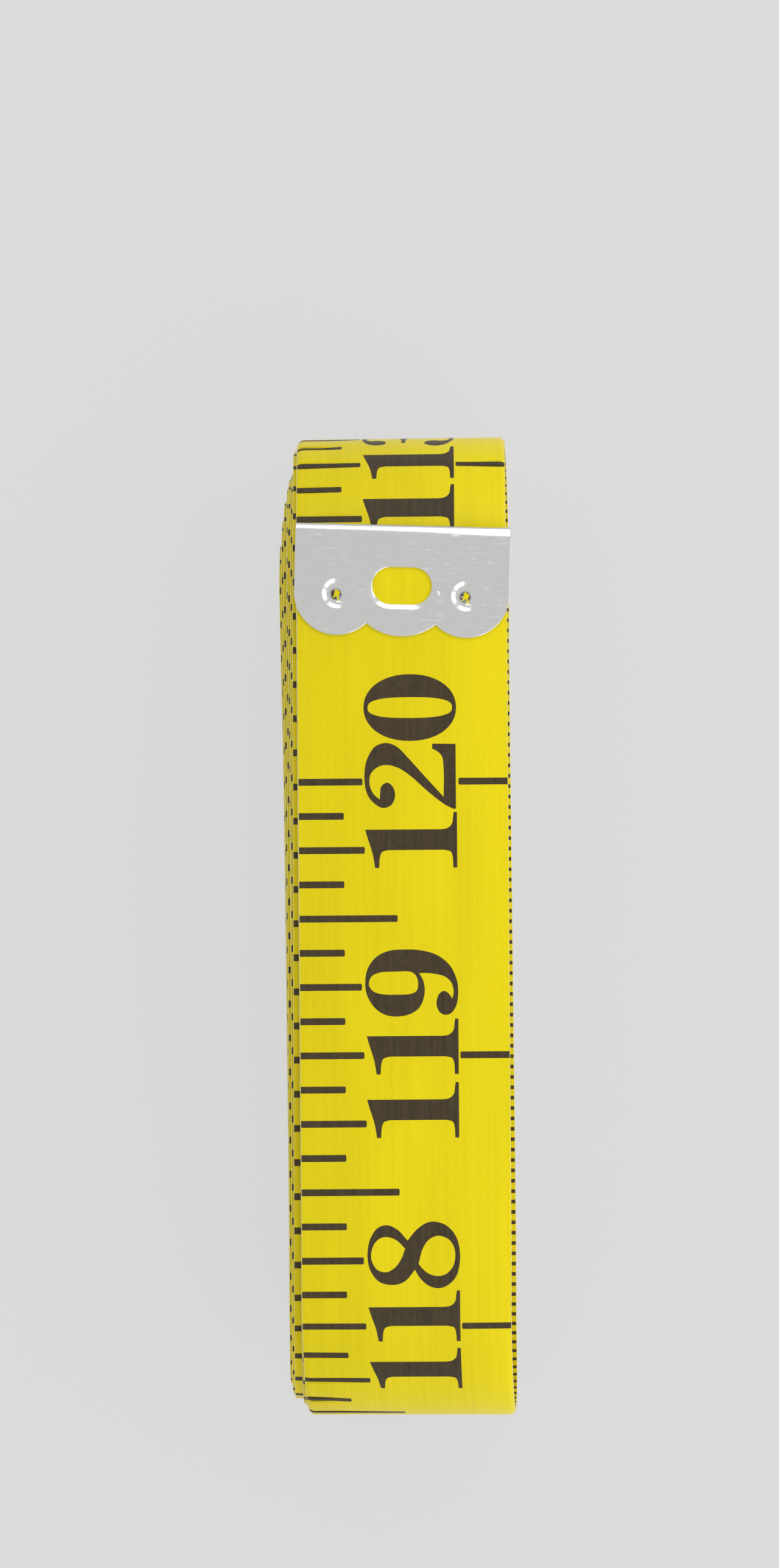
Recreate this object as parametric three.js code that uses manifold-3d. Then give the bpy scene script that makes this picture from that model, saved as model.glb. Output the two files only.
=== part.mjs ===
// A sewing tape measure wound into a flat hank, in millimetres. The hank lies on its back with +Z up, +X to
// the right of its face and +Y towards the end where the free end's metal tip lies. The origin is under the
// middle of the whole part, on the surface that it lies on.
//
// The tape is one strip. It winds inwards from its outer end: down the face, round the bottom bend, back up
// underneath, round the top bend and on, one layer deeper each turn, to the inner end in the core. The outer
// bottom bend is cut into links at hinge lines, so that the free run can lift off and unroll.

import * as THREE from 'three';
import { mergeVertices } from 'three/addons/utils/BufferGeometryUtils.js';
import Module from 'manifold-3d';

// The tape
const TAPE_WIDTH = 19.5;
const TAPE_THICKNESS = 0.25;

// The hank
const HANK_LENGTH = 92.3; // over the outer turn's two bends
const TURNS = 18;
const WINDING_GAP = 0.447; // clear space between one layer and the next
const CORE_CLEARANCE = 0.9; // free height over the inner tip
const BOTTOM_BEND_STRETCH = 1.32; // length of a bend along the hank over half its height
const TOP_BEND_STRETCH = 1.17;
const BOTTOM_SLACK = [0.3, 0.55, 1.2]; // how much further in each looser outer bend sits than a tight one
const TOP_SLACK = [0, 1.7, 0, 0.7];
const BEND_STEPS = 12;

// How far the layers have slid sideways. The slants are in degrees, towards the right going down the hank.
const ALIGNED_TURNS = 2; // the free run and the layer under it lie edge over edge
const FACE_DRIFT = 1.4; // the deepest face layers lie this far to the left of the free run
const FACE_DRIFT_TURNS = 2; // turns over which most of that builds up
const FACE_SLANTS = [0.42, 0.42, 0.13, 0.13];
const DEEP_FACE_SLANT = 0.85;
const BACK_DRIFT = 0.66; // the outer layer underneath lies this far to its right
const CORE_DRIFT = 0.1; // and the innermost one this far
const BACK_SLANT = 0.77;

// The folded metal tips
const TIP_THICKNESS = 0.3;
const TIP_OVERHANG = 0.25; // past each edge of the tape
const TIP_HEIGHT = 10.25; // from the fold to the scallops' lowest points
const OUTER_SCALLOP_RADIUS = 3.98;
const MIDDLE_SCALLOP_RADIUS = 5.05;
const TIP_CLEARANCE = 0.12; // between a tip's flap and the tape layer beside it
const FOLD_CLEARANCE = 0.3; // between the tape's end and the inside of the fold
const SLOT_LENGTH = 5.5;
const SLOT_WIDTH = 3.4;
const SLOT_FROM_FOLD = 5.55; // to the slot's centre line
const STAKE_SPACING = 11.9; // between the two pierced dimples
const STAKE_FROM_FOLD = 6.15;
const STAKE_HOLE_RADIUS = 0.45;
const STAKE_DISH_RADIUS = 1.05;
const STAKE_DISH_DEPTH = 0.16;
const STAKE_RIM_WIDTH = 0.35;
const STAKE_RIM_HEIGHT = 0.12;
const OUTER_TIP_SETBACK = 8.55; // from the hank's top end to the outer tip's fold
const OUTER_TIP_OFFSET = 0.2; // the outer tip sits this far to the right of the tape's middle
const OUTER_TIP_TILT = THREE.MathUtils.degToRad(-1.15);
const INNER_TIP_SETBACK = 2.0; // from the innermost top bend's centre line to the inner tip's fold

// The hinge lines round the outer bottom bend
const HINGES = 4;
const LINK_GAP = 0.3;
const UNROLL_ANGLE = 180; // degrees that the bend turns back through when the free run lies out flat

const ARC_STEPS = 6;
const DIMPLE_SIDES = 18;
const CUT_REACH = 2; // how far a cutting tool runs past what it cuts

// Heights of the layers, at the tape's middle surface
const layerPitch = TAPE_THICKNESS + WINDING_GAP;
const tipPitch = TAPE_THICKNESS + TIP_THICKNESS + TIP_CLEARANCE;
const coreHeight = TAPE_THICKNESS + TIP_THICKNESS + CORE_CLEARANCE;
const lastTurn = TURNS - 1;
const tipWidth = TAPE_WIDTH + 2 * TIP_OVERHANG;

function backHeight(turn) {
  const height = TAPE_THICKNESS / 2 + turn * layerPitch;
  return turn < lastTurn ? height : height - layerPitch + tipPitch;
}

function faceHeight(turn) {
  const height = backHeight(lastTurn) + coreHeight + (lastTurn - turn) * layerPitch;
  return turn > 0 ? height : height - layerPitch + tipPitch;
}

// Each bend is half an ellipse that joins two layers
const bottomReach = (turn) => BOTTOM_BEND_STRETCH * (faceHeight(turn) - backHeight(turn)) / 2;
const topReach = (turn) => TOP_BEND_STRETCH * (faceHeight(turn + 1) - backHeight(turn)) / 2;
const totalSlack = (slack, turn) => slack.slice(0, turn).reduce((sum, step) => sum + step, 0);
const halfLength = (HANK_LENGTH - TAPE_THICKNESS) / 2; // at the tape's middle surface
const bottomCentre = (turn) => bottomReach(0) - halfLength + totalSlack(BOTTOM_SLACK, turn);
const topCentre = (turn) => halfLength - topReach(0) - totalSlack(TOP_SLACK, turn);

const faceTop = faceHeight(0) + TAPE_THICKNESS / 2;
const outerFoldY = HANK_LENGTH / 2 - OUTER_TIP_SETBACK;
const innerFoldY = topCentre(lastTurn - 1) - INNER_TIP_SETBACK;
const faceMiddleY = (outerFoldY + bottomCentre(0)) / 2;

const slanted = (y, degrees) => (faceMiddleY - y) * Math.tan(THREE.MathUtils.degToRad(degrees));

function backShift(turn, y) {
  return THREE.MathUtils.lerp(BACK_DRIFT, CORE_DRIFT, turn / lastTurn) + slanted(y, BACK_SLANT);
}

function faceShift(turn, y) {
  const turnsDown = Math.max(0, turn + 1 - ALIGNED_TURNS);
  const drift = FACE_DRIFT * (1 - Math.exp(-turnsDown / FACE_DRIFT_TURNS));
  return slanted(y, FACE_SLANTS[turn] ?? DEEP_FACE_SLANT) - drift;
}

// The points of half an ellipse, with the sideways shift easing from one layer's to the next's
function bend(centreY, centreZ, reachY, reachZ, side, fromTop, shiftFrom, shiftTo) {
  const points = [];
  for (let step = 0; step <= BEND_STEPS; step += 1) {
    const share = step / BEND_STEPS;
    const angle = Math.PI * (fromTop ? share : 1 - share);
    const ease = (1 - Math.cos(Math.PI * share)) / 2;
    points.push({
      x: THREE.MathUtils.lerp(shiftFrom, shiftTo, ease),
      y: centreY + side * reachY * Math.sin(angle),
      z: centreZ + reachZ * Math.cos(angle),
    });
  }
  return points;
}

// The tape's middle line, from its outer end to its inner end
function tapeLine() {
  const points = [{ x: faceShift(0, outerFoldY), y: outerFoldY, z: faceHeight(0) }];
  for (let turn = 0; turn < TURNS; turn += 1) {
    const face = faceHeight(turn);
    const back = backHeight(turn);
    const bottomY = bottomCentre(turn);
    points.push(...bend(bottomY, (face + back) / 2, bottomReach(turn), (face - back) / 2,
      -1, true, faceShift(turn, bottomY), backShift(turn, bottomY)));
    if (turn === lastTurn) break;
    const nextFace = faceHeight(turn + 1);
    const topY = topCentre(turn);
    points.push(...bend(topY, (nextFace + back) / 2, topReach(turn), (nextFace - back) / 2,
      1, false, backShift(turn, topY), faceShift(turn + 1, topY)));
  }
  points.push({ x: backShift(lastTurn, innerFoldY), y: innerFoldY, z: backHeight(lastTurn) });
  let run = 0;
  points.forEach((point, index) => {
    if (index > 0) run += Math.hypot(point.y - points[index - 1].y, point.z - points[index - 1].z);
    point.run = run;
  });
  return points;
}

const line = tapeLine();
const lineLength = line.at(-1).run;

function pointAt(run) {
  const next = Math.max(1, line.findIndex((point) => point.run >= run - 1e-9));
  const a = line[next - 1];
  const b = line[next];
  const share = (run - a.run) / (b.run - a.run);
  const between = (key) => THREE.MathUtils.lerp(a[key], b[key], share);
  return { x: between('x'), y: between('y'), z: between('z'), run };
}

// The stretch of the middle line between two distances from the outer end
function stretch(from, to) {
  const margin = 0.05;
  const inside = line.filter((point) => point.run > from + margin && point.run < to - margin);
  return [pointAt(from), ...inside, pointAt(to)];
}

// The direction across the tape's thickness at each point, long enough to keep the thickness at a corner
function offsets(points) {
  const edges = points.slice(1).map((point, index) => {
    const length = Math.hypot(point.y - points[index].y, point.z - points[index].z);
    return { y: (point.y - points[index].y) / length, z: (point.z - points[index].z) / length };
  });
  return points.map((point, index) => {
    const before = edges[Math.max(index - 1, 0)];
    const after = edges[Math.min(index, edges.length - 1)];
    const half = TAPE_THICKNESS / (1 + before.y * after.y + before.z * after.z);
    return { y: -(before.z + after.z) * half / 2, z: (before.y + after.y) * half / 2 };
  });
}

// One closed strip along a stretch of the middle line
function stripGeometry(points) {
  const positions = [];
  const normals = offsets(points);
  points.forEach((point, index) => {
    for (const [side, face] of [[-1, -1], [1, -1], [1, 1], [-1, 1]]) {
      positions.push(point.x + side * TAPE_WIDTH / 2,
        point.y + face * normals[index].y, point.z + face * normals[index].z);
    }
  });
  const corners = 4;
  const indices = [];
  for (let index = 0; index < points.length - 1; index += 1) {
    for (let corner = 0; corner < corners; corner += 1) {
      const a = index * corners + corner;
      const b = index * corners + (corner + 1) % corners;
      indices.push(a, a + corners, b, b, a + corners, b + corners);
    }
  }
  const last = (points.length - 1) * corners;
  indices.push(0, 1, 2, 0, 2, 3, last, last + 2, last + 1, last, last + 3, last + 2);
  const geometry = new THREE.BufferGeometry();
  geometry.setAttribute('position', new THREE.Float32BufferAttribute(positions, 3));
  geometry.setIndex(indices);
  return geometry;
}

// The least clear space between layers, measured on points along every step of the line
function leastGap(points) {
  const samples = [];
  const spacing = 0.5;
  for (let run = 0; run < points.at(-1).run; run += spacing) samples.push(pointAt(run));
  let least = Infinity;
  const neighbourRun = 12;
  for (const sample of samples) {
    for (let index = 1; index < points.length; index += 1) {
      const a = points[index - 1];
      const b = points[index];
      if (Math.min(Math.abs(sample.run - a.run), Math.abs(sample.run - b.run)) < neighbourRun) continue;
      if (sample.run > a.run && sample.run < b.run) continue;
      const dy = b.y - a.y;
      const dz = b.z - a.z;
      const along = ((sample.y - a.y) * dy + (sample.z - a.z) * dz) / (dy * dy + dz * dz);
      const share = THREE.MathUtils.clamp(along, 0, 1);
      const distance = Math.hypot(sample.y - a.y - share * dy, sample.z - a.z - share * dz);
      least = Math.min(least, distance - TAPE_THICKNESS);
    }
  }
  return least;
}

// Solids, for the pieces that are cut
const wasm = await Module();
wasm.setup();

function solidOf(geometry) {
  const bare = geometry.clone();
  bare.deleteAttribute('normal');
  bare.deleteAttribute('uv');
  const merged = mergeVertices(bare, 1e-5);
  return new wasm.Manifold(new wasm.Mesh({
    numProp: 3,
    vertProperties: Float32Array.from(merged.attributes.position.array),
    triVerts: Uint32Array.from(merged.index.array),
  }));
}

function geometryOf(solid) {
  const mesh = solid.getMesh();
  const geometry = new THREE.BufferGeometry();
  geometry.setAttribute('position', new THREE.Float32BufferAttribute(mesh.vertProperties, 3));
  geometry.setIndex(Array.from(mesh.triVerts));
  return geometry;
}

// A shape in the tip's own plane, with a depth along Z
function slab(shape, low, high) {
  const geometry = new THREE.ExtrudeGeometry(shape, {
    depth: high - low, bevelEnabled: false, curveSegments: ARC_STEPS,
  });
  return geometry.translate(0, 0, low);
}

function slotShape() {
  const radius = SLOT_WIDTH / 2;
  const centre = (SLOT_LENGTH - SLOT_WIDTH) / 2;
  const shape = new THREE.Shape();
  shape.moveTo(-centre, -SLOT_FROM_FOLD - radius);
  shape.absarc(centre, -SLOT_FROM_FOLD, radius, -Math.PI / 2, Math.PI / 2, false);
  shape.absarc(-centre, -SLOT_FROM_FOLD, radius, Math.PI / 2, Math.PI * 3 / 2, false);
  return shape;
}

// A flap's outline: straight sides, and three scallops whose arcs meet at two cusps
function flapShape() {
  const outerX = tipWidth / 2 - OUTER_SCALLOP_RADIUS;
  const outerY = OUTER_SCALLOP_RADIUS - TIP_HEIGHT;
  const middleY = MIDDLE_SCALLOP_RADIUS - TIP_HEIGHT;
  const apart = Math.hypot(outerX, outerY - middleY);
  const along = (apart ** 2 + MIDDLE_SCALLOP_RADIUS ** 2 - OUTER_SCALLOP_RADIUS ** 2) / (2 * apart);
  const aside = Math.sqrt(MIDDLE_SCALLOP_RADIUS ** 2 - along ** 2);
  const cuspX = (along * outerX + aside * (outerY - middleY)) / apart;
  const cuspY = middleY + (along * (outerY - middleY) - aside * outerX) / apart;
  const outerAngle = Math.atan2(cuspY - outerY, cuspX - outerX);
  const middleAngle = Math.atan2(cuspY - middleY, cuspX);
  const foldRadius = TAPE_THICKNESS / 2 + TIP_THICKNESS;
  const shape = new THREE.Shape();
  shape.moveTo(-tipWidth / 2, -foldRadius);
  shape.absarc(-outerX, outerY, OUTER_SCALLOP_RADIUS, Math.PI, 3 * Math.PI - outerAngle, false);
  shape.absarc(0, middleY, MIDDLE_SCALLOP_RADIUS, Math.PI - middleAngle, middleAngle, false);
  shape.absarc(outerX, outerY, OUTER_SCALLOP_RADIUS, outerAngle, 0, false);
  shape.lineTo(tipWidth / 2, -foldRadius);
  return shape;
}

// The fold over the tape's end: half a ring with two short legs that run into the flaps, drawn in the plane
// across the fold
function foldGeometry() {
  const inner = TAPE_THICKNESS / 2;
  const outer = inner + TIP_THICKNESS;
  const leg = -TIP_THICKNESS;
  const shape = new THREE.Shape();
  shape.moveTo(leg, -outer);
  shape.absarc(0, 0, outer, -Math.PI / 2, Math.PI / 2, false);
  shape.lineTo(leg, outer);
  shape.lineTo(leg, inner);
  shape.absarc(0, 0, inner, Math.PI / 2, -Math.PI / 2, true);
  shape.lineTo(leg, -inner);
  const geometry = new THREE.ExtrudeGeometry(shape, {
    depth: tipWidth, bevelEnabled: false, curveSegments: ARC_STEPS,
  });
  const turn = new THREE.Matrix4().makeBasis(
    new THREE.Vector3(0, 1, 0), new THREE.Vector3(0, 0, 1), new THREE.Vector3(1, 0, 0));
  return geometry.applyMatrix4(turn).translate(-tipWidth / 2, -outer, 0);
}

// A pierced dimple on one flap: a raised rim, a shallow dish and a hole through the flap
function stakeTool(profile, x) {
  const geometry = new THREE.LatheGeometry(profile.map(([r, z]) => new THREE.Vector2(r, z)), DIMPLE_SIDES);
  return solidOf(geometry.rotateX(Math.PI / 2).translate(x, -STAKE_FROM_FOLD, 0));
}

// The folded tip, with its fold along X at y = 0 and the tape's middle surface at z = 0
function tipSolid() {
  const inside = TAPE_THICKNESS / 2;
  const outside = inside + TIP_THICKNESS;
  const flap = flapShape();
  let solid = solidOf(slab(flap, inside, outside))
    .add(solidOf(slab(flap, -outside, -inside)))
    .add(solidOf(foldGeometry()));
  const rimRadius = STAKE_DISH_RADIUS + STAKE_RIM_WIDTH;
  const rimTop = outside + STAKE_RIM_HEIGHT;
  const dishFloor = outside - STAKE_DISH_DEPTH;
  for (const x of [-STAKE_SPACING / 2, STAKE_SPACING / 2]) {
    solid = solid.add(stakeTool(
      [[0, outside - STAKE_DISH_DEPTH / 2], [rimRadius, outside - STAKE_DISH_DEPTH / 2],
        [rimRadius, outside], [STAKE_DISH_RADIUS, rimTop], [0, rimTop]], x));
    solid = solid.subtract(stakeTool(
      [[0, dishFloor], [STAKE_HOLE_RADIUS, dishFloor], [STAKE_DISH_RADIUS, rimTop],
        [STAKE_DISH_RADIUS, rimTop + CUT_REACH], [0, rimTop + CUT_REACH]], x));
    solid = solid.subtract(stakeTool(
      [[0, 0], [STAKE_HOLE_RADIUS, 0], [STAKE_HOLE_RADIUS, rimTop + CUT_REACH],
        [0, rimTop + CUT_REACH]], x));
  }
  return solid.subtract(solidOf(slab(slotShape(), -outside - CUT_REACH, rimTop + CUT_REACH)));
}

// Materials
const vinyl = new THREE.MeshStandardMaterial({ color: 0xebd71a, roughness: 0.42, metalness: 0 });
const platedSteel = new THREE.MeshStandardMaterial({ color: 0xc4c5c1, roughness: 0.3, metalness: 0.9 });

function piece(name, geometry, material) {
  const mesh = new THREE.Mesh(geometry, material);
  mesh.name = name;
  return mesh;
}

const part = new THREE.Group();

// The outer bottom bend, cut into links of equal length with a hinge line between each two
const bendStart = line[1].run;
const bendEnd = line[1 + BEND_STEPS].run;
const hingeSpacing = (bendEnd - bendStart) / HINGES;
const hingeRuns = Array.from({ length: HINGES }, (_, index) => bendEnd - (index + 0.5) * hingeSpacing);

// Where the tips sit: the middle of each fold, the outer one tilted across the tape
const outerTip = new THREE.Matrix4().makeRotationZ(OUTER_TIP_TILT).setPosition(
  faceShift(0, outerFoldY) + OUTER_TIP_OFFSET, outerFoldY, faceHeight(0));
const innerTip = new THREE.Matrix4().setPosition(
  backShift(lastTurn, innerFoldY), innerFoldY, backHeight(lastTurn));

// A strip that ends inside a tip, trimmed parallel to the tip's fold
function tippedStrip(points, tip) {
  const trimY = -TIP_THICKNESS - FOLD_CLEARANCE;
  const trim = new THREE.Shape();
  trim.moveTo(-tipWidth, trimY);
  trim.lineTo(tipWidth, trimY);
  trim.lineTo(tipWidth, CUT_REACH);
  trim.lineTo(-tipWidth, CUT_REACH);
  const reach = (TAPE_THICKNESS + TIP_CLEARANCE) / 2;
  const cutter = solidOf(slab(trim, -reach, reach).applyMatrix4(tip));
  return geometryOf(solidOf(stripGeometry(points)).subtract(cutter));
}

const windingPoints = stretch(hingeRuns[0] + LINK_GAP / 2, lineLength);
part.add(piece('tape_winding', tippedStrip(windingPoints, innerTip), vinyl));
for (let link = 1; link < HINGES; link += 1) {
  const points = stretch(hingeRuns[link] + LINK_GAP / 2, hingeRuns[link - 1] - LINK_GAP / 2);
  part.add(piece(`tape_bend_${link}`, stripGeometry(points), vinyl));
}
const freePoints = stretch(0, hingeRuns.at(-1) - LINK_GAP / 2);
part.add(piece('tape_free_run', tippedStrip(freePoints, outerTip), vinyl));

for (const [name, place] of [['outer_end_tip', outerTip], ['inner_end_tip', innerTip]]) {
  const tip = piece(name, geometryOf(tipSolid()), platedSteel);
  tip.applyMatrix4(place);
  part.add(tip);
}

// The origin goes under the middle of the whole part
const box = new THREE.Box3().setFromObject(part);
part.position.set(-(box.min.x + box.max.x) / 2, -(box.min.y + box.max.y) / 2, -box.min.z);

// The hinge lines in the part's frame, with the share of the opening that each one takes
function directionAt(run) {
  const step = 0.05;
  const a = pointAt(Math.max(run - step, 0));
  const b = pointAt(run + step);
  return Math.atan2(b.z - a.z, b.y - a.y);
}

const turned = hingeRuns.map((run) => {
  const opening = directionAt(run - hingeSpacing / 2 + 0.1) - directionAt(run + hingeSpacing / 2 - 0.1);
  return Math.abs(THREE.MathUtils.radToDeg(Math.atan2(Math.sin(opening), Math.cos(opening))));
});
const wholeTurn = turned.reduce((sum, angle) => sum + angle, 0);
hingeRuns.forEach((run, index) => {
  const place = pointAt(run);
  const y = place.y + part.position.y;
  const z = place.z + part.position.z;
  const angle = turned[index] / wholeTurn * UNROLL_ANGLE;
  console.log(`hinge ${index + 1}: y ${y.toFixed(3)} z ${z.toFixed(3)} opens ${angle.toFixed(2)} degrees`);
});
console.log(`tape length ${lineLength.toFixed(1)}, face height ${faceTop.toFixed(3)}`);
console.log(`least gap between layers ${leastGap(line).toFixed(3)}`);
console.log('shift of the origin', part.position.toArray().map((value) => value.toFixed(4)).join(' '));

export default part;
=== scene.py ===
"""A sewing tape measure wound into a flat hank: its printed vinyl tape and its folded metal tips.

Lengths are in millimetres until a mesh is made. A place on the tape is (run, across): the distance from the
tape's outer end along it, and the distance from its left edge, which carries the inch marks.
"""

import math

import bpy
import numpy as np
from mathutils import Matrix, Vector
from mathutils.geometry import delaunay_2d_cdt


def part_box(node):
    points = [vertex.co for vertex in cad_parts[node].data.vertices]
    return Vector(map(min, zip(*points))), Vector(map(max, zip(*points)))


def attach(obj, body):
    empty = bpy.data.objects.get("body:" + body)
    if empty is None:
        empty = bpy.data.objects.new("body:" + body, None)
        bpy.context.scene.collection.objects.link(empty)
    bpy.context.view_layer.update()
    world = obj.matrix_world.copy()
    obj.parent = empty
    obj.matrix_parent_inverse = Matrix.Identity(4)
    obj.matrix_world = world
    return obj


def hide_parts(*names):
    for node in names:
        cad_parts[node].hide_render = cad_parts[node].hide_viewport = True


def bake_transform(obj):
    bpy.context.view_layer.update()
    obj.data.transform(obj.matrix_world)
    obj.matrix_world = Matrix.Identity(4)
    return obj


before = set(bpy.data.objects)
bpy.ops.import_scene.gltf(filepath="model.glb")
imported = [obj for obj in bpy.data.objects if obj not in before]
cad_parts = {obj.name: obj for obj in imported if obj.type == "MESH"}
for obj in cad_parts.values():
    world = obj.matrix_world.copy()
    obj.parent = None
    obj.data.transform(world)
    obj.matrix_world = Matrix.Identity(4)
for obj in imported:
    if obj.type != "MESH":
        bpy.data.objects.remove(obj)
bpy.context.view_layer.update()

MM = 0.001

# The tape
WIDTH = 19.5
THICKNESS = 0.38
TAPE_LENGTH = 3071.82
EDGE_ROUND, EDGE_ROUND_DEPTH = 0.05, 0.07  # the rounded long edges, across the tape and in its thickness
TAPE_START = 1.1  # the tape's own end, inside the outer tip's fold

# The hank, in the part's frame
HALF_LENGTH = 46.15
FACE_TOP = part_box("tape_free_run")[1][2] / MM
TURNS = 19
PITCH = 0.65
TIP_STEP = 0.64  # from the free run down to the layer under it, past the tip's back flap
TOP_BACK_STRETCH = 1.357  # how much further a top bend reaches on its lower half
CORE_REACH = 1.5
BOTTOM_POWERS = (1.80, 1.90)  # how square each half of a bend is, the one near the face first
TOP_POWERS = (2.05, 2.00)
BOTTOM_INSETS = [0.0, 0.80, 1.22, 1.66, 2.15, 2.64, 6.8]
BOTTOM_REACHES = [15.5, 16.6, 15.8, 14.6, 13.7, 13.1, 9.8]
TOP_INSETS = [0.0, 0.80, 2.95, 3.41, 4.18, 5.5, 7.28, 9.6]
TOP_REACHES = [14.0, 13.2, 11.0, 10.6, 9.8, 8.5, 6.7, 4.6]
BOTTOM_MOVES = (0.06, 0.73)  # the part of a bend over which the tape moves sideways
DEEP_BOTTOM_MOVES = (0.42, 0.92)  # the same from the third layer on
TOP_MOVES = (0.05, 0.62)
SLACK_LIMIT, SLACK_TRIES = 0.35, 24  # the search for the deep turns' slack
FLAT_SAMPLES, BEND_SAMPLES = 12, 240
EDGE_DROOP, DROOP_WIDTH = 0.32, 0.26  # how far the tape's edges hang inwards round a bend, and how wide

# Sideways places of the layers. Drifts are set against the free run at REFERENCE_Y.
FREE_RUN_X = 0.148
REFERENCE_Y = 29.75
FACE_DRIFTS = [0.0, -0.08, -0.44, -0.646, -0.876, -1.033, -1.29, -1.477, -1.665]
FACE_SLANTS = [0.42, 0.48, 0.15, 0.13, 0.49, 0.29, 0.5, 0.7, 1.28]
BACK_X = 0.737
COVERED_BACK_X = 0.03
CORE_BACK_X = 0.095
BACK_SLANT = 0.69
TOP_BEND_TILT = 0.0148
BOTTOM_BEND_TILT = 0.0
DEEP_FACE_JITTER, BACK_JITTER = 0.35, 0.15  # how far hidden layers stray sideways

# The outer tip
OUTER_FOLD_Y = 37.52
FRONT_END, BACK_END = 1.04, 0.40  # how far from the fold's crest the two flaps end
OUTER_TIP_OFFSET = 0.2
OUTER_TIP_TILT = -1.37
TIP_METAL = 0.26
TIP_HALF_WIDTH = 10.0
TIP_HEIGHT = 10.34
OUTER_SCALLOP_RADIUS = 3.98
MIDDLE_SCALLOP_RADIUS = 5.05
SLOT_LENGTH, SLOT_WIDTH, SLOT_FROM_FOLD = 5.5, 3.4, 5.65
STAKE_SPACING, STAKE_FROM_FOLD = 12.0, 6.47
STAKES = [(-STAKE_SPACING / 2, -STAKE_FROM_FOLD), (STAKE_SPACING / 2, -STAKE_FROM_FOLD)]


def tangent(degrees):
    return math.tan(math.radians(degrees))


def face_slant(turn):
    return tangent(FACE_SLANTS[min(turn, len(FACE_SLANTS) - 1)])


def smoothstep(share):
    share = min(max(share, 0.0), 1.0)
    return share * share * (3 - 2 * share)


# The tape's path

def face_height(turn):
    top = FACE_TOP - THICKNESS / 2
    return top if turn == 0 else top - TIP_STEP - (turn - 1) * PITCH


inner_tip_low, inner_tip_high = (Vector(corner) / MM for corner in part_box("inner_end_tip"))
INNER_FOLD_Y = inner_tip_high.y
INNER_TIP_HALF_HEIGHT = 0.425  # of its solid
INNER_TIP_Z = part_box("inner_end_tip")[0][2] / MM + INNER_TIP_HALF_HEIGHT
INNER_TIP_X = (inner_tip_low.x + inner_tip_high.x) / 2


def back_height(turn):
    return INNER_TIP_Z if turn == TURNS - 1 else THICKNESS / 2 + turn * PITCH


def inset(listed, turn):
    last = len(listed) - 1
    return listed[turn] if turn <= last else listed[last] + (turn - last) * PITCH


def bend_shape(turn, insets, reaches, slack):
    """How far out a bend lies and how much of that is curved. Deep bends are shorter."""
    extreme = HALF_LENGTH - THICKNESS / 2 - inset(insets, turn)
    listed = len(insets) - 1
    reach = reaches[min(turn, listed)]
    if turn > listed:
        reach += (CORE_REACH - reach) * (turn - listed) / (TURNS - 1 - listed)
        extreme += slack * (turn - listed)
    return extreme, reach


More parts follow.
